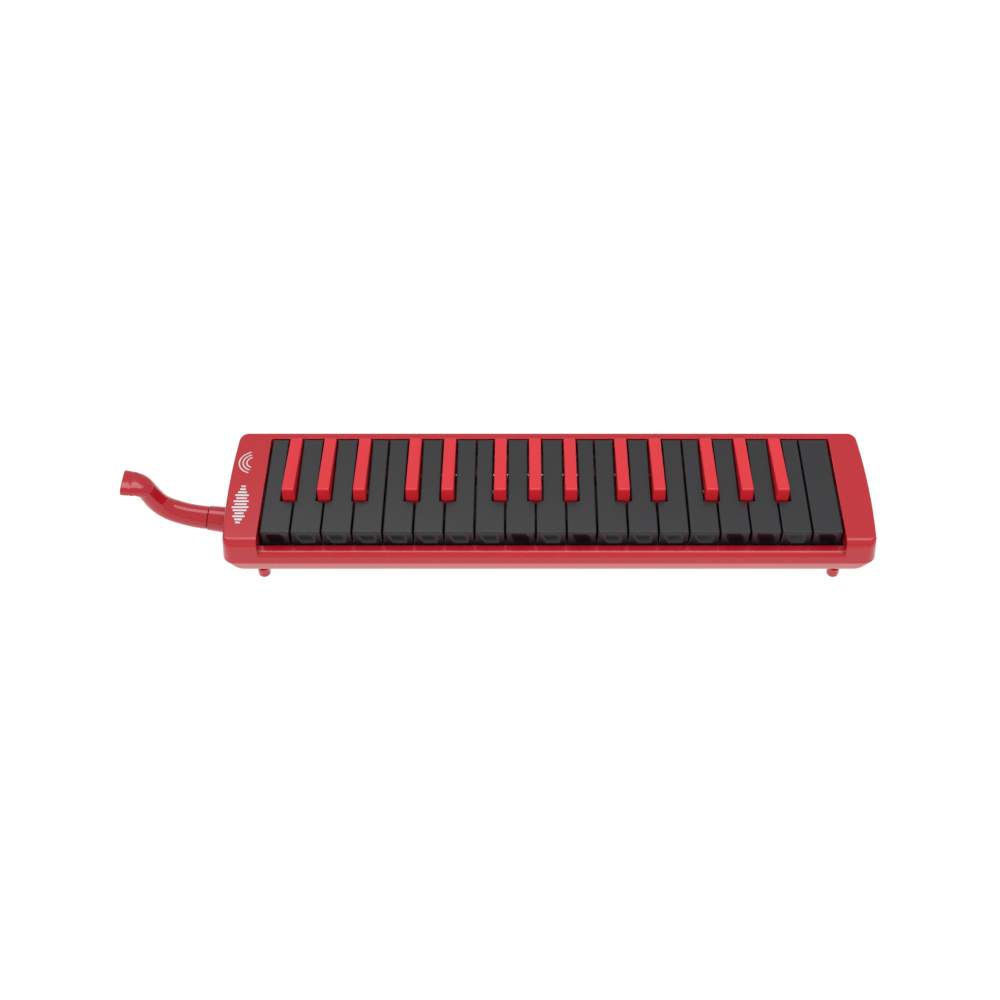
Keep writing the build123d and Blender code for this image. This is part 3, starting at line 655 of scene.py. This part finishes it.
def openingTool():
    # the keyboard opening, with the rail's rolled top left under it
    bm = bmesh.new()
    lean = math.radians(caseShape["upperTaper"])
    radius = caseShape["railRound"] * mm
    arcZ = railTop - radius
    arcY = -halfDepth + (arcZ - partingZ) * math.tan(lean) + radius / math.cos(lean)
    start = arcZ + radius * math.sin(lean)
    outline = [(-halfDepth - 10 * mm, deckZ + 10 * mm), (-halfDepth - 10 * mm, start)]
    for i in range(9):
        turn = lean + (math.pi / 2 - lean) * i / 8
        outline.append((arcY - radius * math.cos(turn), arcZ + radius * math.sin(turn)))
    outline += [(openFront, railTop), (openFront, partingZ - mm)]
    outline += [(openRear, partingZ - mm), (openRear, deckZ + 10 * mm)]
    side = bm.faces.new([bm.verts.new((keyboardX - openX, y, z)) for y, z in outline])
    grown = bmesh.ops.extrude_face_region(bm, geom=[side])["geom"]
    moved = [g for g in grown if isinstance(g, bmesh.types.BMVert)]
    bmesh.ops.translate(bm, verts=moved, vec=(2 * openX, 0, 0))
    return looseObject(bm)


def screwPlaces(name):
    # where each screw of a node stands, from the pieces of its mesh
    bm = bmesh.new()
    bm.from_mesh(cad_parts[name].data)
    bmesh.ops.remove_doubles(bm, verts=bm.verts, dist=1e-6)
    left = set(bm.verts)
    places = []
    while left:
        stack = [left.pop()]
        group = []
        while stack:
            v = stack.pop()
            group.append(v.co.copy())
            for e in v.link_edges:
                other = e.other_vert(v)
                if other in left:
                    left.discard(other)
                    stack.append(other)
        low = Vector([min(p[i] for p in group) for i in range(3)])
        high = Vector([max(p[i] for p in group) for i in range(3)])
        places.append((Vector(((low.x + high.x) / 2, (low.y + high.y) / 2, low.z)), high.z))
    bm.free()
    return sorted(places, key=lambda entry: tuple(entry[0]))  # cuts come in the same order each run


def shellPiece(name, bm):
    return addPiece(name + "_look", bm, [casePlastic], "case", [name])


def finishShell(piece):
    piece.data.polygons.foreach_set("use_smooth", [True] * len(piece.data.polygons))
    piece.data.set_sharp_from_angle(angle=math.radians(35))
    evenNormals(piece)


# socket line: where the mouthpiece plugs in, and how it leans
socketShape = {"tilt": 11.0, "y": -9.4, "z": 20.0, "inset": 1.0, "hole": 8.9}
socketLean = math.radians(socketShape["tilt"])
socketAxis = Vector((-math.cos(socketLean), 0, math.sin(socketLean)))
socketUp = Vector((math.sin(socketLean), 0, math.cos(socketLean)))
socketPlace = Vector((
    caseX - halfLength + socketShape["inset"] * mm, socketShape["y"] * mm, socketShape["z"] * mm,
))
socketTurn = Matrix.Translation(socketPlace) @ socketAxis.to_track_quat("Z", "Y").to_matrix().to_4x4()


def socketTool():
    return cylinder(socketPlace - socketAxis * 15 * mm, socketAxis, socketShape["hole"] * mm, 0.03, 64)


caseScrews = screwPlaces("case_screws")
chestScrews = screwPlaces("chest_screws")


def makeTopCase():
    s = caseShape
    wall = s["wall"] * mm
    inside = looseObject(upperHull(wall, deckZ - wall))
    carve(inside, [box(
        (keyboardX - openX - wall, -halfDepth - 10 * mm, railTop - wall),
        (keyboardX + openX + wall, openRear + wall, deckZ + 5 * mm),
    )])
    piece = shellPiece("top_case", upperHull(0, deckZ))
    carve(piece, [inside])
    bosses = [cylinder(place + up * (partingZ - place.z), up, s["bossRadius"] * mm, deckZ - partingZ - mm, 32)
              for place, top in caseScrews]
    carve(piece, bosses, "UNION")
    pilots = [cylinder(place + up * (partingZ - place.z - mm), up, 1.6 * mm, top - partingZ + 2 * mm, 24)
              for place, top in caseScrews]
    carve(piece, [openingTool(), socketTool(), *pilots])
    bm = bmesh.new()
    bm.from_mesh(piece.data)
    bmesh.ops.dissolve_limit(bm, angle_limit=math.radians(0.5), verts=bm.verts, edges=bm.edges)
    bmesh.ops.remove_doubles(bm, verts=bm.verts, dist=1e-6)

    def onRim(v):
        atSide = abs(abs(v.co.x - keyboardX) - openX) < 1e-5 and v.co.y < openRear + 1e-5
        atRear = abs(v.co.y - openRear) < 1e-5 and abs(v.co.x - keyboardX) < openX + 1e-5
        return (atSide or atRear) and v.co.z > railTop + 1.5 * mm

    rims = [e for e in bm.edges if all(onRim(v) for v in e.verts) and e.is_manifold and e.is_convex
            and e.calc_face_angle(0) > 0.6]
    bevelEdges(bm, rims, s["rimRound"] * mm, 3)
    bm.to_mesh(piece.data)
    bm.free()
    finishShell(piece)
    return piece


def makeBottomCase():
    s = caseShape
    piece = shellPiece("bottom_case", lowerHull(0))
    carve(piece, [looseObject(lowerHull(s["wall"] * mm))])
    added = []
    for sideX in (-1, 1):
        for sideY in (-1, 1):
            bm = bmesh.new()
            radius, turnIn = s["studRadius"] * mm, s["studRound"] * mm
            place = Vector((
                caseX + sideX * (halfLength - s["studInset"][0] * mm),
                sideY * (halfDepth - s["studInset"][1] * mm), 0,
            ))
            profile = [(0, baseZ + 4 * mm), (radius, baseZ + 4 * mm)]
            profile += [(radius - turnIn * (1 - math.cos(a)), turnIn * (1 - math.sin(a)))
                        for a in (math.radians(15 * i) for i in range(7))]
            lathe(bm, profile + [(0, 0)], Matrix.Translation(place), 40)
            added.append(looseObject(bm))
    for place, top in caseScrews:
        foot = (place.x, place.y, baseZ + mm)
        added.append(cylinder(foot, up, s["bossRadius"] * mm, partingZ - baseZ - 1.2 * mm, 32))
    carve(piece, added, "UNION")
    tools = [socketTool()]
    for place, top in caseScrews + chestScrews:
        tools.append(cylinder((place.x, place.y, -mm), up, s["screwRecess"] * mm, place.z + 3.2 * mm, 32))
        tools.append(cylinder((place.x, place.y, baseZ), up, 1.6 * mm, top - baseZ + mm, 24))
    button = middle("drain_button")
    tools.append(cylinder((button.x, button.y, -mm), up, s["valveHole"] * mm, baseZ + 6 * mm, 48))
    carve(piece, tools)
    finishShell(piece)
    return piece


makeTopCase()
makeBottomCase()
print("case made")


# mouthpiece: lip, ferrule, and the tube swept along its bends
tubeShape = {
    "collar": (8.85, 8.2, 14.5),      # radius at the case, radius at the ring, length
    "edge": 0.6,
    "plug": (5.95, 16.0),             # radius, length
    "swivel": (5.05, 8.1),
    "bore": 3.5,
    "sealGroove": (4.45, 0.75, 8.0),  # radius, half width, depth along the plug
    "lip": (9.0, 9.8, 1.3),
    "shoulder": 14.7,
    "spigot": (5.0, 8.2),
    "firstRun": 2.8,
    "bends": ((60.0, 0, 20), (24.0, 20, 58)),
    "middleRun": 8.8,
    "backBend": (9.0, 58, 0),
    "tipRun": 8.0,
    "sections": (                     # share of the length, half width, half height, squareness
        (0.0, 7.75, 7.75, 2.0), (0.3, 7.5, 7.4, 2.0), (0.55, 7.0, 6.8, 2.0), (0.72, 7.2, 6.0, 2.1),
        (0.84, 8.6, 4.6, 2.4), (0.9, 9.4, 4.0, 2.8), (1.0, 9.5, 3.95, 3.0),
    ),
    "slot": (7.3, 1.8, 7.0),
    "grip": 5.8,                      # the groove round the tip, back from its end
}


def makeFerrule():
    t = tubeShape
    wide, narrow, length = t["collar"]
    edge = t["edge"]
    plug, plugLength = t["plug"]
    swivel, swivelDepth = t["swivel"]
    groove, half, depth = t["sealGroove"]
    outer = [(wide - edge, 0), (wide - 0.3 * edge, 0.3 * edge), (wide, edge)]
    outer += [(narrow, length - edge), (narrow - 0.3 * edge, length - 0.3 * edge), (narrow - edge, length)]
    inner = [(swivel, length), (swivel, length - swivelDepth), (t["bore"], length - swivelDepth)]
    inner += [(t["bore"], -plugLength), (plug - 0.5, -plugLength), (plug, -plugLength + 0.5)]
    seat = [(plug, -depth - half), (groove, -depth - half), (groove, -depth + half)]
    seat += [(plug, -depth + half), (plug, 0)]
    profile = outer + inner + seat + [(wide - edge, 0)]
    bm = bmesh.new()
    lathe(bm, [(r * mm, z * mm) for r, z in profile], socketTurn, 64)
    piece = addPiece(
        "mouth_ferrule_look", bm, [mouthPlastic], "ferrule", ["mouth_ferrule"],
    )
    evenNormals(piece)
    inside, outside, height = t["lip"]
    bm = bmesh.new()
    ring = [(inside, -1.2), (outside, -1.2), (outside, height - 0.4), (outside - 0.3, height)]
    ring += [(inside + 0.2, height), (inside, height - 0.3), (inside, -1.2)]
    lathe(bm, [(r * mm, z * mm) for r, z in ring], socketTurn, 64)
    lip = addPiece("socket_lip", bm, [mouthPlastic], "case")
    evenNormals(lip)


def tubeStations():
    # (reach along the socket's axis, rise above it, angle), in even steps along the bends
    t = tubeShape
    reach, rise = t["shoulder"], 0.0
    stations = [(reach, rise, 0)]

    def straight(length, angle, steps):
        nonlocal reach, rise
        for i in range(steps):
            reach += length / steps * math.cos(math.radians(angle))
            rise += length / steps * math.sin(math.radians(angle))
            stations.append((reach, rise, angle))

    def bend(radius, before, after, steps):
        nonlocal reach, rise
        sign = 1 if after > before else -1
        for i in range(steps):
            a = math.radians(before + (after - before) * i / steps)
            b = math.radians(before + (after - before) * (i + 1) / steps)
            reach += sign * radius * (math.sin(b) - math.sin(a))
            rise += sign * radius * (math.cos(a) - math.cos(b))
            stations.append((reach, rise, math.degrees(b)))

    straight(t["firstRun"], 0, 2)
    for radius, before, after in t["bends"]:
        bend(radius, before, after, 12)
    straight(t["middleRun"], t["bends"][-1][2], 5)
    bend(*t["backBend"], 14)
    straight(t["tipRun"], 0, 16)
    return stations


def sectionAt(share):
    table = tubeShape["sections"]
    for low, high in zip(table, table[1:]):
        if share <= high[0]:
            part = (share - low[0]) / (high[0] - low[0])
            part = part * part * (3 - 2 * part)
            return [a + (b - a) * part for a, b in zip(low[1:], high[1:])]
    return table[-1][1:]


def makeTube():
    t = tubeShape
    stations = tubeStations()
    lengths = [0]
    for a, b in zip(stations, stations[1:]):
        lengths.append(lengths[-1] + math.hypot(b[0] - a[0], b[1] - a[1]))
    sideways = socketAxis.cross(socketUp)
    steps = 56

    def ring(station, wide, tall, square):
        reach, rise, angle = station
        centre = socketPlace + (socketAxis * reach + socketUp * rise) * mm
        turn = math.radians(angle)
        across = (socketUp * math.cos(turn) - socketAxis * math.sin(turn))
        points = []
        for i in range(steps):
            a = math.tau * i / steps
            c, s = math.cos(a), math.sin(a)
            points.append(
                centre + sideways * (math.copysign(abs(c) ** (2 / square), c) * wide * mm)
                + across * (math.copysign(abs(s) ** (2 / square), s) * tall * mm)
            )
        return points

    rings = []
    wide, tall, square = sectionAt(0)
    rings.append(ring(stations[0], t["spigot"][0], t["spigot"][0], 2))
    rings.append(ring(stations[0], wide - 0.5, tall - 0.5, square))
    for station, length in zip(stations, lengths):
        wide, tall, square = sectionAt(length / lengths[-1])
        fromEnd = lengths[-1] - length
        pinch = 0.35 * max(0, 1 - abs(fromEnd - t["grip"]) / 0.7)
        if fromEnd < 0.01:
            break
        if length == 0:
            station = (station[0] + 0.3, station[1], station[2])
        rings.append(ring(station, wide - pinch, tall - pinch, square))
    end = stations[-1]
    for back, less in ((0.5, 0.08), (0.2, 0.35), (0.0, 0.9)):
        rings.append(ring((end[0] - back, end[1], 0), wide - less, tall - less, square))
    slotWide, slotTall, slotDepth = t["slot"]
    for back, more in ((0.0, 0.35), (0.25, 0.08), (slotDepth, 0)):
        rings.append(ring((end[0] - back, end[1], 0), slotWide + more, slotTall + more, 3.0))
    bm = bmesh.new()
    order = bm.verts.layers.int.new("order")
    start = [bm.verts.new(p) for p in rings[0]]
    edges = [bm.edges.new((start[i], start[(i + 1) % steps])) for i in range(steps)]
    for i, v in enumerate(start):
        v[order] = i
    for points in rings[1:]:
        grown = bmesh.ops.extrude_edge_only(bm, edges=edges)["geom"]
        edges = [g for g in grown if isinstance(g, bmesh.types.BMEdge)]
        for v in (g for g in grown if isinstance(g, bmesh.types.BMVert)):
            v.co = points[v[order]]
    bmesh.ops.holes_fill(bm, edges=edges)
    radius, length = t["spigot"]
    shoulder = t["shoulder"]
    spigot = [(radius, shoulder + 0.05), (radius, shoulder - length + 0.4), (radius - 0.4, shoulder - length),
              (t["bore"], shoulder - length), (t["bore"], shoulder + 0.05)]
    lathe(bm, [(r * mm, z * mm) for r, z in spigot], socketTurn, 48)
    piece = addPiece(
        "mouth_tube_look", bm, [mouthPlastic], "mouthpiece", ["mouth_tube"],
    )
    evenNormals(piece)


makeFerrule()
makeTube()
print("mouthpiece made")


# metal, rubber, moulded inside parts, felt and webbing
def brushedMetal(name, colour, roughness, stretch):
    shader = Shader(name, colour, roughness, Metallic=1.0)
    axes = shader.axes()
    along = shader.node("ShaderNodeCombineXYZ", {}, {i: axes[i] * stretch[i] for i in range(3)})
    strokes = shader.noise(600, 4, 0.6, along)
    tarnish = shader.noise(40, 4, 0.55)
    shader.feed("Base Color", shader.mix(tarnish, tint(colour, 0.72), tint(colour, 1.1)))
    shader.feed("Roughness", roughness * (0.7 + 0.5 * strokes + 0.25 * tarnish))
    shader.bump(strokes, 0.25, 0.00003)
    return shader.material


def rubberMaterial(name, colour):
    shader = Shader(name, colour, 0.75)
    grain = shader.noise(1400, 4, 0.6)
    dust = shader.noise(60, 4, 0.6)
    shader.feed("Base Color", shader.mix(dust, tint(colour, 0.8), tint(colour, 1.5)))
    shader.feed("Roughness", 0.62 + 0.2 * grain)
    shader.bump(grain, 0.4, 0.00006)
    return shader.material


brass = brushedMetal("brass_sheet", (0.72, 0.48, 0.16), 0.28, (0.15, 1, 1))
steel = brushedMetal("steel_wire", (0.6, 0.6, 0.62), 0.25, (1, 1, 0.2))
rubber = rubberMaterial("seal_rubber", (0.012, 0.012, 0.013))
innerPlastic = mouldedPlastic("inner_grey", (0.16, 0.16, 0.17), 0.45).material
buttonPlastic = mouldedPlastic("button_black", (0.012, 0.012, 0.014), 0.35).material
stripFelt = makeFelt("strip_felt", (0.08, 0.075, 0.08))
for name, material in {
    "axle_comb": casePlastic, "inlet_socket": mouthPlastic,
    "air_chest": innerPlastic, "reed_block": innerPlastic,
    "chest_gasket": rubber, "ferrule_seal": rubber, "drain_seal": rubber, "reed_plate_low": brass,
    "reed_plate_high": brass, "reeds": brass, "reed_rivets": brass, "key_axle": steel, "comb_screws": steel,
    "chest_screws": steel, "case_screws": steel, "key_stop_felt": stripFelt, "drain_button": buttonPlastic,
}.items():
    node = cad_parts[name]
    if node.data.materials:
        for holder in node.material_slots:
            holder.material = material
    else:
        node.data.materials.append(material)


# coil springs, wound from a small ring of wire
springShape = {
    "wire": 0.5, "keyTurns": 9, "drainTurns": 4, "stepsPerTurn": 14, "keep": 0.88, "keyRadius": 2.3,
    "drainTravel": 2.2,
}


def makeSpring(name, place, radius, height, turns, replaced):
    bm = bmesh.new()
    wire = springShape["wire"] * mm / 2
    ring = bmesh.ops.create_circle(
        bm, segments=8, radius=wire,
        matrix=Matrix.Translation((radius - wire, 0, wire)) @ Matrix.Rotation(math.pi / 2, 4, "X"),
    )["verts"]
    edges = list(dict.fromkeys(e for v in ring for e in v.link_edges))
    steps = turns * springShape["stepsPerTurn"]
    bmesh.ops.spin(
        bm, geom=ring + edges, cent=(0, 0, 0), axis=(0, 0, 1), dvec=(0, 0, (height - 2 * wire) / steps),
        angle=math.tau * turns, steps=steps,
    )
    bmesh.ops.holes_fill(bm, edges=bm.edges[:])
    bmesh.ops.translate(bm, verts=bm.verts, vec=place)
    return addPiece(name, bm, [steel], "case", [replaced], 60)


springLow, springHigh = nodeBox("key_springs")
springY = (springLow.y + springHigh.y) / 2
for name in naturals + sharps:
    keyMiddle = middle(name)
    place = Vector((keyMiddle.x, springY, springLow.z))
    spring = makeSpring(
        name + "_spring", place, springShape["keyRadius"] * mm, springHigh.z - springLow.z,
        springShape["keyTurns"], "key_springs",
    )
    name + "_press"
    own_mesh(spring)
drainLow, drainHigh = nodeBox("drain_spring")
drainPlace = Vector(((drainLow.x + drainHigh.x) / 2, (drainLow.y + drainHigh.y) / 2, drainLow.z))
drain = makeSpring(
    "drain_spring_look", drainPlace, (drainHigh.x - drainLow.x) / 2, drainHigh.z - drainLow.z,
    springShape["drainTurns"], "drain_spring",
)
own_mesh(drain)
print("springs wound")


# hand strap: flat webbing with box stitching, and a screwed plate over each end
strapLow, strapHigh = nodeBox("hand_strap")
platesLow, platesHigh = nodeBox("strap_plates")
strapShape = {"rib": 0.0012, "stitch": 0.0022, "edge": 0.0003, "plate": 0.022}


def webbingMaterial():
    shader = Shader("webbing", (0.02, 0.02, 0.022), 0.8, Sheen_Weight=0.3)
    x, y, z = shader.axes()
    warp = shader.node("ShaderNodeMath", {"operation": "SINE"}, {0: y * (math.tau / strapShape["rib"])})
    weft = shader.node("ShaderNodeMath", {"operation": "SINE"}, {0: x * (math.tau / strapShape["rib"] / 1.6)})
    weave = warp * weft * 0.5 + 0.5
    fray = shader.noise(1500, 4, 0.7)
    dark, light = (0.006, 0.006, 0.007, 1), (0.05, 0.05, 0.055, 1)
    shader.feed("Base Color", shader.mix(weave * 0.7 + fray * 0.3, dark, light))
    shader.feed("Roughness", 0.7 + 0.2 * fray)
    shader.bump(weave * 0.8 + fray * 0.2, 0.7, 0.00025)
    return shader.material


def makeStrap():
    bm = bmesh.new()
    low, high = strapLow + Vector((0, 0, 0.0001)), strapHigh - Vector((0, 0, 0.00005))
    bmesh.ops.create_grid(bm, x_segments=76, y_segments=12, size=0.5)
    bmesh.ops.scale(bm, verts=bm.verts, vec=(high.x - low.x, high.y - low.y, 1))
    bmesh.ops.translate(bm, verts=bm.verts, vec=((low.x + high.x) / 2, (low.y + high.y) / 2, high.z))
    grown = bmesh.ops.extrude_face_region(bm, geom=bm.faces[:])["geom"]
    for v in (g for g in grown if isinstance(g, bmesh.types.BMVert)):
        v.co.z = low.z
    bmesh.ops.recalc_face_normals(bm, faces=bm.faces)
    rims = [e for e in bm.edges if e.is_manifold and e.calc_face_angle(0) > 1]
    bevelEdges(bm, rims, strapShape["edge"], 2)
    strap = addPiece("hand_strap_look", bm, [webbingMaterial()], "case", ["hand_strap"])
    bm = bmesh.new()
    step = strapShape["stitch"]
    for side in (-1, 1):
        reach = (strapHigh.x - strapLow.x) / 2 - strapShape["plate"] - 0.003
        near = (strapLow.x + strapHigh.x) / 2 + side * reach
        for row in (0, 1):
            x = near - side * row * 0.008
            count = 8
            for i in range(count):
                y = (i - (count - 1) / 2) * step * 1.25
                made = bmesh.ops.create_uvsphere(bm, u_segments=8, v_segments=6, radius=0.5)["verts"]
                bmesh.ops.scale(bm, verts=made, vec=(0.0006, step, 0.0004))
                bmesh.ops.translate(bm, verts=made, vec=(x, y, low.z))
    thread = Shader("thread", (0.25, 0.02, 0.03), 0.7)
    twist = thread.noise(2500, 3)
    thread.feed("Roughness", 0.6 + 0.3 * twist)
    thread.bump(twist, 0.5, 0.0001)
    addPiece("strap_stitches", bm, [thread.material], "case")


def makeStrapPlates():
    bm = bmesh.new()
    long = strapShape["plate"]
    for x in (platesLow.x, platesHigh.x - long):
        verts = block(bm, (x, platesLow.y, platesLow.z), (x + long, platesHigh.y, platesHigh.z))
        posts = uprights(verts)
        bevelEdges(bm, posts, 0.0018, 5)
    bm.normal_update()
    rims = [e for e in bm.edges if all(abs(v.co.z - platesLow.z) < 1e-7 for v in e.verts)]
    bevelEdges(bm, rims, 0.0006, 3)
    plates = addPiece("strap_plates_look", bm, [buttonPlastic], "case", ["strap_plates"])
    evenNormals(plates)
    bm = bmesh.new()
    for x in (platesLow.x + long / 2, platesHigh.x - long / 2):
        for y in (-0.0075, 0.0075):
            turn = Matrix.Translation((x, y, platesLow.z)) @ Matrix.Rotation(math.pi, 4, "X")
            head = [(0, 0.00025), (0.0007, 0.0003), (0.0008, 0.00062), (0.0016, 0.0005), (0.0022, 0.0002)]
            lathe(bm, head + [(0.0023, 0)], turn, 24)
    addPiece("strap_screws", bm, [steel], "case")


makeStrap()
makeStrapPlates()
print("strap made")


# generic ornament on the left cheek: a row of bars like a level meter, and three arcs
ornament = {
    "thick": 0.08, "bar": 1.5, "pitch": 2.6, "heights": (3, 5, 8, 6, 9, 11, 8, 10, 7, 9, 6, 4, 3),
    "barsAt": (-203, -15),
    "arcsAt": (-199, 22), "arcs": (4.5, 7.0, 9.5), "line": 0.9,
}


def makeOrnament():
    o = ornament
    silver = Shader("silver_print", (0.62, 0.62, 0.64), 0.3, Metallic=0.85)
    flakes = silver.noise(3000, 3, 0.6)
    silver.feed("Roughness", 0.26 + 0.14 * flakes)
    silver.bump(flakes, 0.15, 0.00001)
    bm = bmesh.new()
    low = deckZ - 0.05 * mm
    high = deckZ + o["thick"] * mm
    x = keyboardX + o["barsAt"][0] * mm
    for i, tall in enumerate(o["heights"]):
        y = (o["barsAt"][1] + (i - (len(o["heights"]) - 1) / 2) * o["pitch"]) * mm
        half = o["bar"] * mm / 2
        verts = block(bm, (x - tall * mm / 2, y - half, low), (x + tall * mm / 2, y + half, high))
        posts = uprights(verts)
        bevelEdges(bm, posts, 0.5 * mm, 3)
    centre = Vector((keyboardX + o["arcsAt"][0] * mm, o["arcsAt"][1] * mm, 0))
    for radius in o["arcs"]:
        line = o["line"] * mm / 2
        near, far = radius * mm - line, radius * mm + line
        corners = [(near, low), (far, low), (far, high), (near, high)]
        start = bm.faces.new([bm.verts.new((r, 0, z)) for r, z in corners])
        before = set(bm.verts) - set(start.verts)
        bmesh.ops.spin(bm, geom=[start], cent=(0, 0, 0), axis=(0, 0, 1), angle=math.radians(150), steps=28)
        made = [v for v in bm.verts if v not in before]
        turn = Matrix.Translation(centre) @ Matrix.Rotation(math.radians(105), 4, "Z")
        bmesh.ops.transform(bm, matrix=turn, verts=made)
    addPiece("cheek_ornament", bm, [silver.material], "case")


makeOrnament()
print("ornament made")


floorMesh = bmesh.new()
bmesh.ops.create_grid(floorMesh, x_segments=1, y_segments=1, size=6)
mesh = bpy.data.meshes.new("floor")
floorMesh.to_mesh(mesh)
floorMesh.free()
floor = bpy.data.objects.new("floor", mesh)
bpy.context.collection.objects.link(floor)
floorShader = Shader(
    "floor", studio["floorColour"][:3], 0.9,
    Emission_Color=(1, 1, 1, 1), Emission_Strength=studio["floorGlow"],
)
mesh.materials.append(floorShader.material)
